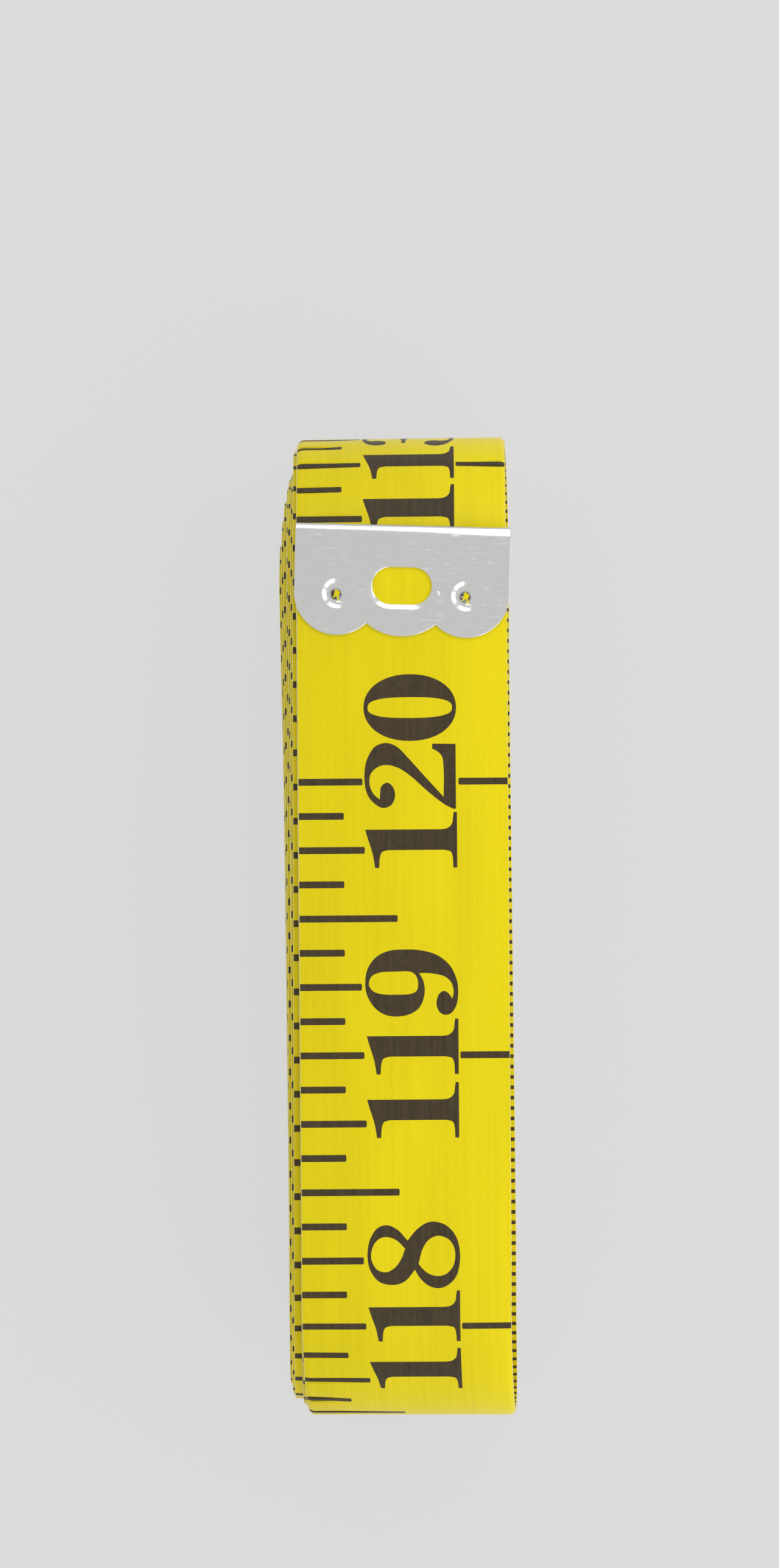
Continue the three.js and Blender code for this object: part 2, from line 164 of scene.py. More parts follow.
class Path:
    """The tape's middle line. Its samples hold run, y, z, tangent angle, sideways place and cross tilt."""

    def __init__(self, slack):
        self.samples = []
        self.bends = []
        self.run = 0.0
        y = OUTER_FOLD_Y
        angle = math.pi
        face_x, back_x = self.sideways()
        back_slant = tangent(BACK_SLANT)
        for turn in range(TURNS):
            extreme, reach = bend_shape(turn, BOTTOM_INSETS, BOTTOM_REACHES, slack)
            centre = reach - extreme
            face, back = face_height(turn), back_height(turn)
            slant = face_slant(turn)
            self.straight(y, centre, face, angle, face_x[turn], slant)
            self.bend(-extreme, (face + back) / 2, (-reach, -reach), (face - back) / 2, angle,
                      BOTTOM_POWERS, face_x[turn](centre), back_x[turn](centre),
                      BOTTOM_MOVES if turn < 2 else DEEP_BOTTOM_MOVES,
                      (slant, BOTTOM_BEND_TILT, back_slant))
            angle += math.pi
            y = centre
            if turn == TURNS - 1:
                break
            extreme, reach = bend_shape(turn, TOP_INSETS, TOP_REACHES, 0.0)
            back_reach = reach * TOP_BACK_STRETCH
            next_face = face_height(turn + 1)
            self.straight(y, extreme - back_reach, back, angle, back_x[turn], back_slant)
            self.bend(extreme, (next_face + back) / 2, (back_reach, reach), (back - next_face) / 2, angle,
                      TOP_POWERS[::-1], back_x[turn](extreme - back_reach),
                      face_x[turn + 1](extreme - reach), TOP_MOVES,
                      (back_slant, TOP_BEND_TILT, face_slant(turn + 1)))
            angle += math.pi
            y = extreme - reach
        self.straight(y, INNER_FOLD_Y, back_height(TURNS - 1), angle, back_x[TURNS - 1], back_slant)
        self.table = np.array(self.samples).T

    @staticmethod
    def sideways():
        """The sideways place of each face run and back run, as functions of y."""
        jitter = np.random.default_rng(11)
        face, back = [], []
        last = len(FACE_DRIFTS) - 1
        for turn in range(TURNS):
            drift = FACE_DRIFTS[min(turn, last)]
            if turn > last:
                drift += jitter.uniform(0.0, DEEP_FACE_JITTER)
            face.append(lambda y, d=drift, s=face_slant(turn): FREE_RUN_X + d + (REFERENCE_Y - y) * s)
            drift = BACK_X
            if turn:
                drift = COVERED_BACK_X + (CORE_BACK_X - COVERED_BACK_X) * turn / (TURNS - 1)
                drift -= jitter.uniform(0.0, BACK_JITTER)
            back.append(lambda y, d=drift: d + (REFERENCE_Y - y) * tangent(BACK_SLANT))
        aligned = INNER_TIP_X - back[-1](INNER_FOLD_Y)
        deepest = back[-1]
        back[-1] = lambda y: deepest(y) + aligned
        return face, back

    def add(self, y, z, angle, x, tilt):
        if self.samples:
            self.run += math.hypot(y - self.samples[-1][1], z - self.samples[-1][2])
        self.samples.append((self.run, y, z, angle, x, tilt))

    def straight(self, start, end, z, angle, place, slant):
        for y in np.linspace(start, end, FLAT_SAMPLES):
            self.add(y, z, angle, place(y), slant)

    def bend(self, extreme_y, centre_z, reaches, reach_z, angle, powers, x_from, x_to, moves, tilts):
        """Half a turn round an oval that starts along the tape, squarer or rounder in each half."""
        start = self.run
        for step in range(1, BEND_SAMPLES + 1):
            share = step / BEND_SAMPLES
            sweep = math.pi * share
            power, reach_y = (powers[0], reaches[0]) if share <= 0.5 else (powers[1], reaches[1])
            side_y, side_z = math.sin(sweep), math.cos(sweep)
            scale = (abs(side_y) ** power + abs(side_z) ** power) ** (-1 / power)
            out_y, out_z = side_y * scale, side_z * scale
            normal_y = out_y ** (power - 1) / abs(reach_y)
            normal_z = math.copysign(abs(out_z) ** (power - 1), out_z) / abs(reach_z)
            turned = math.atan2(normal_y, normal_z)
            ease = smoothstep((share - moves[0]) / (moves[1] - moves[0]))
            half = side_y ** 2
            tilt = (tilts[0] * (1 - ease) + tilts[2] * ease) * (1 - half) + tilts[1] * half
            self.add(extreme_y - reach_y * (1 - out_y), centre_z + reach_z * out_z, angle + turned,
                     x_from + (x_to - x_from) * ease, tilt)
        self.bends.append((start, self.run))

    def at(self, run):
        return [np.interp(run, self.table[0], row) for row in self.table[1:]]

    @property
    def length(self):
        return self.table[0][-1]


def whole_path():
    """The path with the slack in its deep turns that gives the tape its whole length."""
    low, high = -SLACK_LIMIT, SLACK_LIMIT
    for _ in range(SLACK_TRIES):
        middle = (low + high) / 2
        if Path(middle).length < TAPE_LENGTH:
            low = middle
        else:
            high = middle
    return Path(middle)


path = whole_path()


def ripple(x, y):
    """How far the face runs stand off a flat plane, the same for every layer."""
    rise = (0.030 * np.sin(y / 9.3 + 0.6) * np.cos(x / 11.0)
            + 0.022 * np.sin(y / 5.1 + x / 7.0 + 2.0)
            + 0.014 * np.sin(y / 3.3 - x / 4.1))
    ends = np.clip((24.0 - y) / 10, 0, 1) * np.clip((y + 29.0) / 10, 0, 1)
    return rise * ends * ends * (3 - 2 * ends)


def place(run, across, height):
    """Points of the tape in the part's frame, height above its middle surface on the inch side."""
    y, z, angle, x, tilt = path.at(run)
    aside = across - WIDTH / 2
    along_y, along_z = np.cos(angle), np.sin(angle)
    edge = np.minimum(across, WIDTH - across)
    height = height - EDGE_DROOP * along_z ** 2 * np.exp(-(edge / DROOP_WIDTH) ** 2)
    flat = along_y < -0.999
    px = x + aside
    py = y + aside * tilt + height * along_z
    pz = z - height * along_y
    return np.stack([px, py, pz + np.where(flat, ripple(px, py), 0.0)], axis=1)


# The figures' outlines in millimetres, as (x, y), or (x, y, 1) where the outline has a corner

FIGURE_HEIGHT = 8.6
FIGURE_WIDTH, ONE_WIDTH = 6.2, 5.2
FIGURE_GAP, ONES_GAP = 0.2, 0.7
CURVE_STEP = 0.16


def ring_outline(radius_x, radius_y, power):
    angles = np.linspace(0, 2 * math.pi, 44, endpoint=False)
    cos, sin = np.cos(angles), np.sin(angles)
    x = FIGURE_WIDTH / 2 + radius_x * np.sign(cos) * np.abs(cos) ** (2 / power)
    y = FIGURE_HEIGHT / 2 + radius_y * np.sign(sin) * np.abs(sin) ** (2 / power)
    return list(zip(x, y))


NINE = [
    [(2.9, 8.62), (4.42, 8.4), (5.55, 7.57), (6.11, 6.36), (6.22, 4.92), (6.14, 3.48), (5.7, 1.97),
     (4.72, .76), (3.36, .12), (2.3, 0), (1.09, .15), (.33, .61), (.12, 1.13), (.33, 1.68), (1.09, 2.02),
     (2.0, 1.82), (2.35, 1.36), (2.15, .91), (1.62, .56, 1), (2.3, .42), (3.13, .64), (3.66, 1.18),
     (3.93, 2.12), (4.02, 2.88), (4.02, 3.6, 1), (3.36, 3.25), (2.45, 3.1), (1.54, 3.25), (.79, 3.63),
     (.26, 4.39), (0, 5.6), (.18, 6.81), (.79, 7.72), (1.85, 8.4)],
    [(3.06, 8.28), (3.74, 8.02), (4.09, 7.26), (4.17, 5.75), (4.14, 4.39), (3.81, 3.93), (3.06, 3.71),
     (2.38, 3.86), (2.1, 4.39), (2.03, 5.75), (2.07, 6.96), (2.3, 7.79), (2.68, 8.17)],
]
HOOK = [(1.5, .2), (.4, .85), (.05, 1.6), (.2, 2.3), (.8, 2.75), (1.5, 2.55), (1.85, 1.9), (1.62, 1.25, 1),
        (1.8, .72)]

FIGURES = {
    "0": [ring_outline(3.1, 4.3, 2.12), ring_outline(.965, 3.92, 2.7)],
    "1": [[(.03, 0, 1), (5.17, 0, 1), (5.2, .3, 1), (4.78, .36), (4.1, .47), (3.69, .9), (3.59, 1.5, 1),
           (3.59, 8.52, 1), (2.91, 8.33), (1.39, 7.86), (.03, 7.62, 1), (.03, 7.25, 1), (1.05, 7.16),
           (1.5, 6.97), (1.68, 6.4, 1), (1.68, 1.2, 1), (1.5, .58), (1.05, .42), (.03, .36, 1)]],
    "2": [[(.05, .25, 1), (.12, .08, 1), (6.1, .08, 1), (6.14, 2.25, 1), (5.68, 2.27, 1), (5.4, 1.75),
           (4.95, 1.35), (3.6, 1.2), (1.2, 1.22, 1), (2.0, 1.95), (3.5, 3.3), (4.9, 4.55), (5.85, 5.5),
           (6.23, 6.5), (5.9, 7.55), (4.6, 8.35), (2.96, 8.56), (1.6, 8.35), (.75, 7.8), (.2, 6.88),
           (.45, 6.1), (1.3, 5.72), (2.1, 5.9), (2.55, 6.43), (2.2, 7.0), (1.4, 7.12), (.98, 7.15, 1),
           (1.55, 7.75), (2.4, 8.08), (3.4, 7.95), (4.05, 7.2), (4.18, 6.4), (3.85, 5.3), (3.0, 4.1),
           (1.9, 2.9), (.9, 1.7), (.3, .8)]],
    "3": [[(2.9, 8.6), (4.6, 8.3), (5.5, 7.5), (5.75, 6.5), (5.4, 5.5), (4.3, 4.78, 1), (5.5, 4.1),
           (6.15, 3.2), (6.2, 2.2), (5.7, 1.1), (4.6, .3), (3.0, 0), *HOOK, (2.5, .42), (3.4, .5),
           (4.0, 1.1), (4.22, 2.2), (4.1, 3.4), (3.5, 4.15), (2.6, 4.45), (.95, 4.58, 1),
           (.95, 4.9, 1), (2.6, 4.98), (3.4, 5.25), (3.85, 6.0), (3.9, 7.0), (3.6, 7.85), (2.9, 8.22),
           (2.2, 8.12), (1.75, 7.75, 1), (1.95, 7.3), (1.8, 6.7), (1.2, 6.35), (.55, 6.55), (.3, 7.2),
           (.55, 7.95), (1.4, 8.45)]],
    "4": [[(5.3, 8.6, 1), (4.75, 8.6, 1), (0, 2.85, 1), (0, 2.2, 1), (3.5, 2.2, 1), (3.5, 1.2, 1),
           (3.35, .55), (2.9, .4), (2.4, .36, 1), (2.4, 0, 1), (6.2, 0, 1), (6.2, .36, 1), (5.8, .4),
           (5.42, .55), (5.3, 1.2, 1), (5.3, 2.2, 1), (6.2, 2.2, 1), (6.2, 2.65, 1), (5.3, 2.65, 1)],
          [(3.5, 2.65, 1), (.5, 2.65, 1), (3.5, 6.35, 1)]],
    "5": [[(.9, 8.6, 1), (2.8, 8.3), (5.3, 8.6, 1), (5.35, 8.4, 1), (4.7, 7.3), (3.4, 6.9), (1.28, 7.2, 1),
           (1.28, 4.8, 1), (2.3, 5.3), (3.5, 5.45), (5.0, 5.0), (6.0, 3.9), (6.2, 2.7), (5.8, 1.3),
           (4.7, .35), (3.0, 0), *HOOK, (2.6, .42), (3.5, .6), (4.1, 1.4), (4.25, 2.7),
           (4.0, 4.1), (3.3, 4.9), (2.3, 4.75), (1.5, 4.2), (.9, 4.0, 1)]],
    "6": [[(FIGURE_WIDTH - x, FIGURE_HEIGHT - y, *corner) for x, y, *corner in contour]
          for contour in NINE],
    "7": [[(.2, 8.55, 1), (6.1, 8.55, 1), (6.1, 8.2, 1), (5.2, 6.6), (4.3, 4.6), (3.85, 2.6), (3.9, .9),
           (3.6, .15), (2.9, 0), (2.1, .2), (1.75, .9), (1.95, 2.2), (2.7, 4.0), (3.9, 5.8), (5.0, 7.2, 1),
           (2.2, 7.25), (1.1, 7.05), (.6, 6.3, 1), (.25, 6.3, 1)]],
    "8": [[(3.18, 8.6), (4.7, 8.3), (5.64, 7.62), (5.89, 6.77), (5.5, 5.84), (4.45, 4.86, 1), (5.38, 4.1),
           (6.03, 3.22), (6.2, 2.46), (5.89, 1.35), (4.88, .4), (3.1, 0), (1.15, .34), (.25, 1.19),
           (0, 2.03), (.27, 2.96), (.95, 3.7), (1.74, 4.2, 1), (.81, 4.95), (.44, 5.59), (.34, 6.43),
           (.64, 7.5), (1.7, 8.33)],
          [(3.18, 8.26), (4.2, 7.93), (4.72, 7.3), (4.76, 6.6), (4.45, 5.85), (3.7, 5.1, 1), (2.68, 5.5),
           (1.91, 6.1), (1.54, 6.85), (1.74, 7.65), (2.42, 8.14)],
          [(2.3, 3.86, 1), (3.69, 3.46), (4.54, 2.86), (4.88, 2.03), (4.54, 1.05), (3.9, .6), (3.18, .45),
           (2.17, .6), (1.41, 1.19), (1.15, 1.95), (1.32, 2.79), (1.75, 3.4)]],
    "9": NINE,
}


def between(a, b, start, end, t):
    return ((end - t) * a + (t - start) * b) / (end - start)


def curve_through(points, closed):
    """A centripetal curve through the points, straight where there are only two."""
    if len(points) == 2 and not closed:
        return [tuple(points[0])]
    pts = [np.array(point, float) for point in points]
    if closed:
        pts = [pts[-1]] + pts + [pts[0], pts[1]]
    else:
        pts = [2 * pts[0] - pts[1]] + pts + [2 * pts[-1] - pts[-2]]
    out = []
    for p0, p1, p2, p3 in zip(pts, pts[1:], pts[2:], pts[3:]):
        knots = [0.0]
        for a, b in ((p0, p1), (p1, p2), (p2, p3)):
            knots.append(knots[-1] + max(np.linalg.norm(b - a), 1e-6) ** 0.5)
        count = max(2, min(8, int(np.linalg.norm(p2 - p1) / CURVE_STEP)))
        for t in np.linspace(knots[1], knots[2], count, endpoint=False):
            a1 = between(p0, p1, knots[0], knots[1], t)
            a2 = between(p1, p2, knots[1], knots[2], t)
            a3 = between(p2, p3, knots[2], knots[3], t)
            b1 = between(a1, a2, knots[0], knots[2], t)
            b2 = between(a2, a3, knots[1], knots[3], t)
            out.append(tuple(between(b1, b2, knots[1], knots[2], t)))
    return out


def drawn(contour):
    corners = [index for index, point in enumerate(contour) if len(point) > 2]
    if not corners:
        return curve_through(contour, True)
    contour = contour[corners[0]:] + contour[:corners[0] + 1]
    corners = [index - corners[0] for index in corners] + [len(contour) - 1]
    out = []
    for start, end in zip(corners, corners[1:]):
        out += curve_through([point[:2] for point in contour[start:end + 1]], False)
    return out


OUTLINES = {digit: [drawn(contour) for contour in contours] for digit, contours in FIGURES.items()}
OUTLINES["0"] = FIGURES["0"]


def number_outlines(text):
    """The outlines of a number with its middle at x = 0 and its foot at y = 0."""
    pen, placed = 0.0, []
    for index, digit in enumerate(text):
        if index:
            pen += ONES_GAP if digit == "1" and text[index - 1] == "1" else FIGURE_GAP
        placed += [[(x + pen, y) for x, y in contour] for contour in OUTLINES[digit]]
        pen += ONE_WIDTH if digit == "1" else FIGURE_WIDTH
    return [[(x - pen / 2, y) for x, y in contour] for contour in placed]


# The print. Each shape is a closed outline of (run, across).

INCH = 25.4
INCH_FOOT = 14.72
NUMBER_LEADS = {120: 0.97, 118: 1.2, 113: 0.9}  # how far a number's middle lies before its mark
USUAL_LEAD = 1.05
INCH_MARK = 0.64
EIGHTHS = 8
EIGHTH_LENGTHS = {0: 5.98, 2: 5.8, 4: 9.15, 6: 6.15}
ODD_EIGHTH_LENGTH = 4.23
FOOT_TO_MARK = 0.16
INCHES = 120
METRIC_MARK = 0.36
METRIC_MARKS = 3048
METRIC_ZERO = -0.2  # the two scales' ends lie this far apart
METRIC_LENGTH, FIVE_LENGTH, TEN_LENGTH = 3.0, 4.5, 6.0
METRIC_NUMBERS_FROM_EDGE = 6.7
METRIC_SCALE = 0.45
NUMBERED_RUN = 345.0
NUMBERED_METRIC_RUN = 125.0
SOFT_CORNER = 0.09


def bar(run, thickness, low, high):
    """A printed line across the tape, with its free corners a little rounded."""
    half, points = thickness / 2, []
    for side, end, inwards in ((-1, low, 1), (-1, high, -1), (1, high, -1), (1, low, 1)):
        if EDGE_ROUND < end < WIDTH - EDGE_ROUND:
            corner = [(run + side * half - side * SOFT_CORNER, end),
                      (run + side * half, end + inwards * SOFT_CORNER)]
            points += corner[::-side * inwards]
        else:
            points.append((run + side * half, end))
    return points


def inch_print(start, end):
    shapes = []
    lowest = max(1, math.floor((TAPE_LENGTH - end) / INCH * EIGHTHS) - 4)
    highest = min(INCHES * EIGHTHS, math.ceil((TAPE_LENGTH - start) / INCH * EIGHTHS) + 4)
    for eighth in range(lowest, highest + 1):
        run = TAPE_LENGTH - eighth * INCH / EIGHTHS
        inch, part = divmod(eighth, EIGHTHS)
        shapes.append(bar(run, INCH_MARK, EDGE_ROUND, EIGHTH_LENGTHS.get(part, ODD_EIGHTH_LENGTH)))
        if part == 0:
            shapes.append(bar(run, INCH_MARK, INCH_FOOT + FOOT_TO_MARK, WIDTH - EDGE_ROUND))
            if run < NUMBERED_RUN:
                middle = run - NUMBER_LEADS.get(inch, USUAL_LEAD)
                for contour in number_outlines(str(inch)):
                    shapes.append([(middle - x, INCH_FOOT - y) for x, y in contour])
    return shapes


def metric_print(start, end):
    shapes = []
    for mark in range(max(1, math.floor(TAPE_LENGTH - end) - 5),
                      min(METRIC_MARKS, math.ceil(TAPE_LENGTH - start) + 5) + 1):
        run = TAPE_LENGTH - METRIC_ZERO - mark
        length = TEN_LENGTH if mark % 10 == 0 else FIVE_LENGTH if mark % 5 == 0 else METRIC_LENGTH
        shapes.append(bar(run, METRIC_MARK, WIDTH - length, WIDTH - EDGE_ROUND))
        if mark % 10 == 0 and run < NUMBERED_METRIC_RUN:
            foot = WIDTH - METRIC_NUMBERS_FROM_EDGE - FIGURE_HEIGHT * METRIC_SCALE
            for contour in number_outlines(str(mark // 10)):
                shapes.append([(run - x * METRIC_SCALE, foot + y * METRIC_SCALE) for x, y in contour])
    return shapes


# Strips of tape

def inside(points, shapes):
    """Whether each point lies inside the shapes, by the number of outline edges on one side of it."""
    odd = np.zeros(len(points), bool)
    for shape in shapes:
        a = np.array(shape)
        b = np.roll(a, -1, axis=0)
        low, high = a.min(axis=0), a.max(axis=0)
        near = np.nonzero((points[:, 0] > low[0]) & (points[:, 0] < high[0])
                          & (points[:, 1] > low[1]) & (points[:, 1] < high[1]))[0]
        if not len(near):
            continue
        px, py = points[near, 0:1], points[near, 1:2]
        crosses = (a[:, 1] > py) != (b[:, 1] > py)
        with np.errstate(divide="ignore", invalid="ignore"):
            at = a[:, 0] + (py - a[:, 1]) * (b[:, 0] - a[:, 0]) / (b[:, 1] - a[:, 1])
        odd[near] ^= (np.sum(crosses & (px < at), axis=1) % 2).astype(bool)
    return odd


def triangulated(points, edges):
    found = delaunay_2d_cdt([Vector(point) for point in points], edges, [], 0, 1e-5, False)
    corners = np.array([tuple(point) for point in found[0]])
    return corners, np.array([face for face in found[2] if len(face) == 3])


def add_line(points, edges, line, closed):
    first, count = len(points), len(line)
    edges += [(first + index, first + (index + 1) % count) for index in range(count if closed else count - 1)]
    points += line


def arc(centre, radius, angles):
    return [(centre[0] + radius * math.cos(a), centre[1] + radius * math.sin(a)) for a in angles]


def circle(centre, radius, count):
    return arc(centre, radius, np.linspace(0, 2 * math.pi, count, endpoint=False))


def linked(name, data):
    """A new object with this data, in the scene."""
    thing = bpy.data.objects.new(name, data)
    bpy.context.scene.collection.objects.link(thing)
    return thing


def mesh_object(name, points, faces, layer, vectors, materials, indices, sharp_degrees):
    """A smooth mesh of points in millimetres, with a vector at each point for its materials."""
    mesh = bpy.data.meshes.new(name)
    mesh.from_pydata((points * MM).tolist(), [], faces)
    for material in materials:
        mesh.materials.append(material)
    mesh.polygons.foreach_set("material_index", np.array(indices, np.int32))
    mesh.polygons.foreach_set("use_smooth", np.ones(len(faces), bool))
    attribute = mesh.attributes.new(layer, "FLOAT_VECTOR", "POINT")
    attribute.data.foreach_set("vector", vectors.astype(np.float32).ravel())
    mesh.set_sharp_from_angle(angle=math.radians(sharp_degrees))
    mesh.validate()
    return linked(name, mesh)


FINE_STEP, COARSE_STEP, COARSE_BEND_STEPS = 0.42, 0.25, 30  # between cross lines round a bend
FINE_SPACING, COARSE_SPACING = 3.0, 9.0  # and on a flat run
LEAST_BEND, LEAST_STEP = 0.2, 0.04


def cross_lines(start, end, fine):
    """The runs of the cross lines of a strip: close together round bends and wide apart on the flats."""
    lines = {start, end}
    for bend_start, bend_end in path.bends:
        low, high = max(start, bend_start), min(end, bend_end)
        if high - low < LEAST_BEND:
            continue
        step = FINE_STEP if fine else max(COARSE_STEP, (bend_end - bend_start) / COARSE_BEND_STEPS)
        count = max(2, math.ceil((high - low) / step))
        lines.update(np.linspace(low, high, count + 1))
    spacing = FINE_SPACING if fine else COARSE_SPACING
    ordered = sorted(lines)
    for a, b in zip(ordered, ordered[1:]):
        if b - a > spacing * 1.2:
            count = math.ceil((b - a) / spacing)
            lines.update(np.linspace(a, b, count + 1))
    ordered = sorted(lines)
    kept = [ordered[0]]
    for run in ordered[1:]:
        if run - kept[-1] > LEAST_STEP or run == end:
            kept.append(run)
    return kept


def slot_outline(grow):
    """The slot in the tip's plane, from the fold at y = 0."""
    radius = SLOT_WIDTH / 2 + grow
    centre = (SLOT_LENGTH - SLOT_WIDTH) / 2
    angles = np.linspace(-math.pi / 2, math.pi / 2, 14)
    return (arc((centre, -SLOT_FROM_FOLD), radius, angles)
            + arc((-centre, -SLOT_FROM_FOLD), -radius, angles))


TAPE_SHARP_ANGLE, TIP_SHARP_ANGLE = 28, 25


class Strip:
    """A closed strip of tape from one run to another, with the print set into its faces."""

    VINYL, INK, EDGE = 0, 1, 2
    FIRST_LINE = 0.03  # from each end
    EDGE_LINES = [EDGE_ROUND, 0.16, 0.28, 0.42, 0.7]  # close lines along the drooping edges
    INCH_CUT, METRIC_CUT = INCH * (9 / 16), 5.5  # where a cell starts, from its mark: no figure lies there
    SHORTEST_CELL, CLEARANCE = 0.3, 0.02

    def __init__(self, start, end, fine):
        self.start, self.end, self.fine = start, end, fine
        self.keys, self.points = {}, []
        self.faces, self.materials = [], []
        self.lines = sorted([*cross_lines(start, end, fine), start + self.FIRST_LINE, end - self.FIRST_LINE])
        self.face(1, inch_print(start, end), INCH, self.INCH_CUT)
        self.face(-1, metric_print(start, end), 10.0, self.METRIC_CUT)
        self.borders()
        self.caps()

    def vertex(self, run, across, side):
        key = (round(run, 3), round(across, 3), side)
        if key not in self.keys:
            self.keys[key] = len(self.points)
            height = THICKNESS / 2 - (EDGE_ROUND_DEPTH if abs(side) == 2 else 0.0)
            self.points.append((run, across, math.copysign(height, side)))
        return self.keys[key]

    def add(self, corners, material, flip):
        if len(set(corners)) < 3:
            return
        self.faces.append(corners[::-1] if flip else corners)
        self.materials.append(material)

    def face(self, side, shapes, cell, offset):
        """One face, worked out a cell at a time between lines that no figure crosses."""
        run = TAPE_LENGTH - offset - math.floor((TAPE_LENGTH - offset - self.start) / cell) * cell
        cuts = [self.start]
        while run < self.end - self.SHORTEST_CELL:
            if run > self.start + self.SHORTEST_CELL:
                cuts.append(run)
            run += cell
        cuts.append(self.end)
        spans = [(min(p[0] for p in shape), max(p[0] for p in shape)) for shape in shapes]
        bands = 6 if self.fine else 2
        left = self.EDGE_LINES if self.fine else [EDGE_ROUND]
        places = left + [WIDTH * index / bands for index in range(1, bands)]
        places += [WIDTH - across for across in reversed(left)]
        count = len(places)
        for low, high in zip(cuts, cuts[1:]):
            near, far = low + self.CLEARANCE, high - self.CLEARANCE
            lines = [low] + [line for line in self.lines if near < line < far] + [high]
            points, edges = [], []
            for line in lines:
                base = len(points)
                add_line(points, edges, [(line, across) for across in places], False)
                if base:
                    edges += [(base - count, base), (base - 1, base + count - 1)]
            printed = [shape for shape, (a, b) in zip(shapes, spans) if b > low and a < high]
            for shape in printed:
                add_line(points, edges, shape, True)
            corners, triangles = triangulated(points, edges)
            centres = corners[triangles].mean(axis=1)
            kept = (centres[:, 0] >= low) & (centres[:, 0] <= high)
            for triangle, inked in zip(triangles[kept], inside(centres, printed)[kept]):
                self.add([self.vertex(*corners[index], side) for index in triangle],
                         self.INK if inked else self.VINYL, side < 0)

    def row(self, axis, value, side):
        """The vertices of a face with this run, where axis is 0, or this place across, in order."""
        return sorted((key[1 - axis], index) for key, index in self.keys.items()
                      if key[axis] == round(value, 3) and key[2] == side)

    def zipper(self, upper, lower, flip):
        """The triangles between two rows of vertices."""
        i = j = 0
        while i < len(upper) - 1 or j < len(lower) - 1:
            on_upper = j == len(lower) - 1 or (i < len(upper) - 1 and upper[i + 1][0] <= lower[j + 1][0])
            corner = upper[i + 1] if on_upper else lower[j + 1]
            self.add([upper[i][1], corner[1], lower[j][1]], self.EDGE, flip)
            i, j = (i + 1, j) if on_upper else (i, j + 1)

    def borders(self):
        for across, rim, flip in ((EDGE_ROUND, 0.0, True), (WIDTH - EDGE_ROUND, WIDTH, False)):
            inner_rows = [[(run, self.vertex(run, rim, side)) for run in self.lines] for side in (2, -2)]
            self.zipper(self.row(1, across, 1), inner_rows[0], flip)
            self.zipper(inner_rows[0], inner_rows[1], flip)
            self.zipper(inner_rows[1], self.row(1, across, -1), flip)

    def caps(self):
        for run, flip in ((self.start, False), (self.end, True)):
            loop = [index for _, index in self.row(0, run, 1)]
            loop += [self.vertex(run, WIDTH, side) for side in (2, -2)]
            loop += [index for _, index in reversed(self.row(0, run, -1))]
            loop += [self.vertex(run, 0.0, side) for side in (-2, 2)]
            self.add(loop, self.EDGE, flip)

    def object(self, name):
        run, across, height = np.array(self.points).T
        return mesh_object(name, place(run, across, height), self.faces, "tape",
                           np.stack([across, run, height], axis=1), (vinyl, ink, cut_edge), self.materials,
                           TAPE_SHARP_ANGLE)


# Materials

class Nodes:
    """A material's node tree, with short calls for the nodes used here."""

    def __init__(self, name):
        self.material = bpy.data.materials.new(name)
        self.material.use_nodes = True
        self.tree = self.material.node_tree
        self.shader = self.tree.nodes["Principled BSDF"]

    def set(self, **values):
        for socket, value in values.items():
            self.shader.inputs[socket.replace("_", " ")].default_value = value

    def node(self, kind, inputs=None, **settings):
        node = self.tree.nodes.new(kind)
        for key, value in settings.items():
            setattr(node, key, value)
        for key, value in (inputs or {}).items():
            if isinstance(value, bpy.types.NodeSocket):
                self.tree.links.new(value, node.inputs[key])
            else:
                node.inputs[key].default_value = value
        return node

    def link(self, output, socket):
        self.tree.links.new(output, self.shader.inputs[socket])

    def attribute(self, name):
        return self.node("ShaderNodeAttribute", attribute_name=name).outputs["Vector"]

    def math(self, operation, a, b=0.0):
        return self.node("ShaderNodeMath", {0: a, 1: b}, operation=operation).outputs[0]

    def scaled(self, vector, factors):
        return self.node("ShaderNodeVectorMath", {0: vector, 1: factors}, operation="MULTIPLY").outputs[0]

    def noise(self, vector, scale, detail=2.0, roughness=0.5):
        return self.node("ShaderNodeTexNoise", {"Vector": vector, "Scale": scale, "Detail": detail,
                                                "Roughness": roughness}).outputs["Fac"]

    def ranged(self, value, low, high, to_low=0.0, to_high=1.0):
        node = self.node("ShaderNodeMapRange", {"Value": value, "From Min": low, "From Max": high,
                                                "To Min": to_low, "To Max": to_high})
        return node.outputs["Result"]

    def mixed(self, factor, a, b):
        return self.node("ShaderNodeMix", {0: factor, 6: a, 7: b}, data_type="RGBA").outputs[2]

    def bump(self, height, distance):
        node = self.node("ShaderNodeBump", {"Height": height, "Distance": distance, "Strength": 1.0})
        self.link(node.outputs["Normal"], "Normal")


def linear(red, green, blue):
    """A colour as it looks on a screen, 0 to 255, as the shader wants it."""
    values = []
    for value in (red, green, blue):
        share = value / 255
        values.append(share / 12.92 if share <= 0.04045 else ((share + 0.055) / 1.055) ** 2.4)
    return (*values, 1.0)


YARN_PITCHES = {"X": 0.46, "Y": 0.50}  # across the tape and along it
COATING_RELIEF, FIBRE_RELIEF, SHEET_RELIEF = 0.000008, 0.00002, 0.000004  # in metres


def weave_height(nodes, coordinates):
    """The fine cloth under the coating: yarns over and under each other."""
    parts = nodes.node("ShaderNodeSeparateXYZ", {"Vector": coordinates})
    waves = [nodes.math("SINE", nodes.math("MULTIPLY", parts.outputs[axis], 2 * math.pi / pitch))
             for axis, pitch in YARN_PITCHES.items()]
    return nodes.math("MULTIPLY", nodes.math("MULTIPLY", *waves), 0.5)


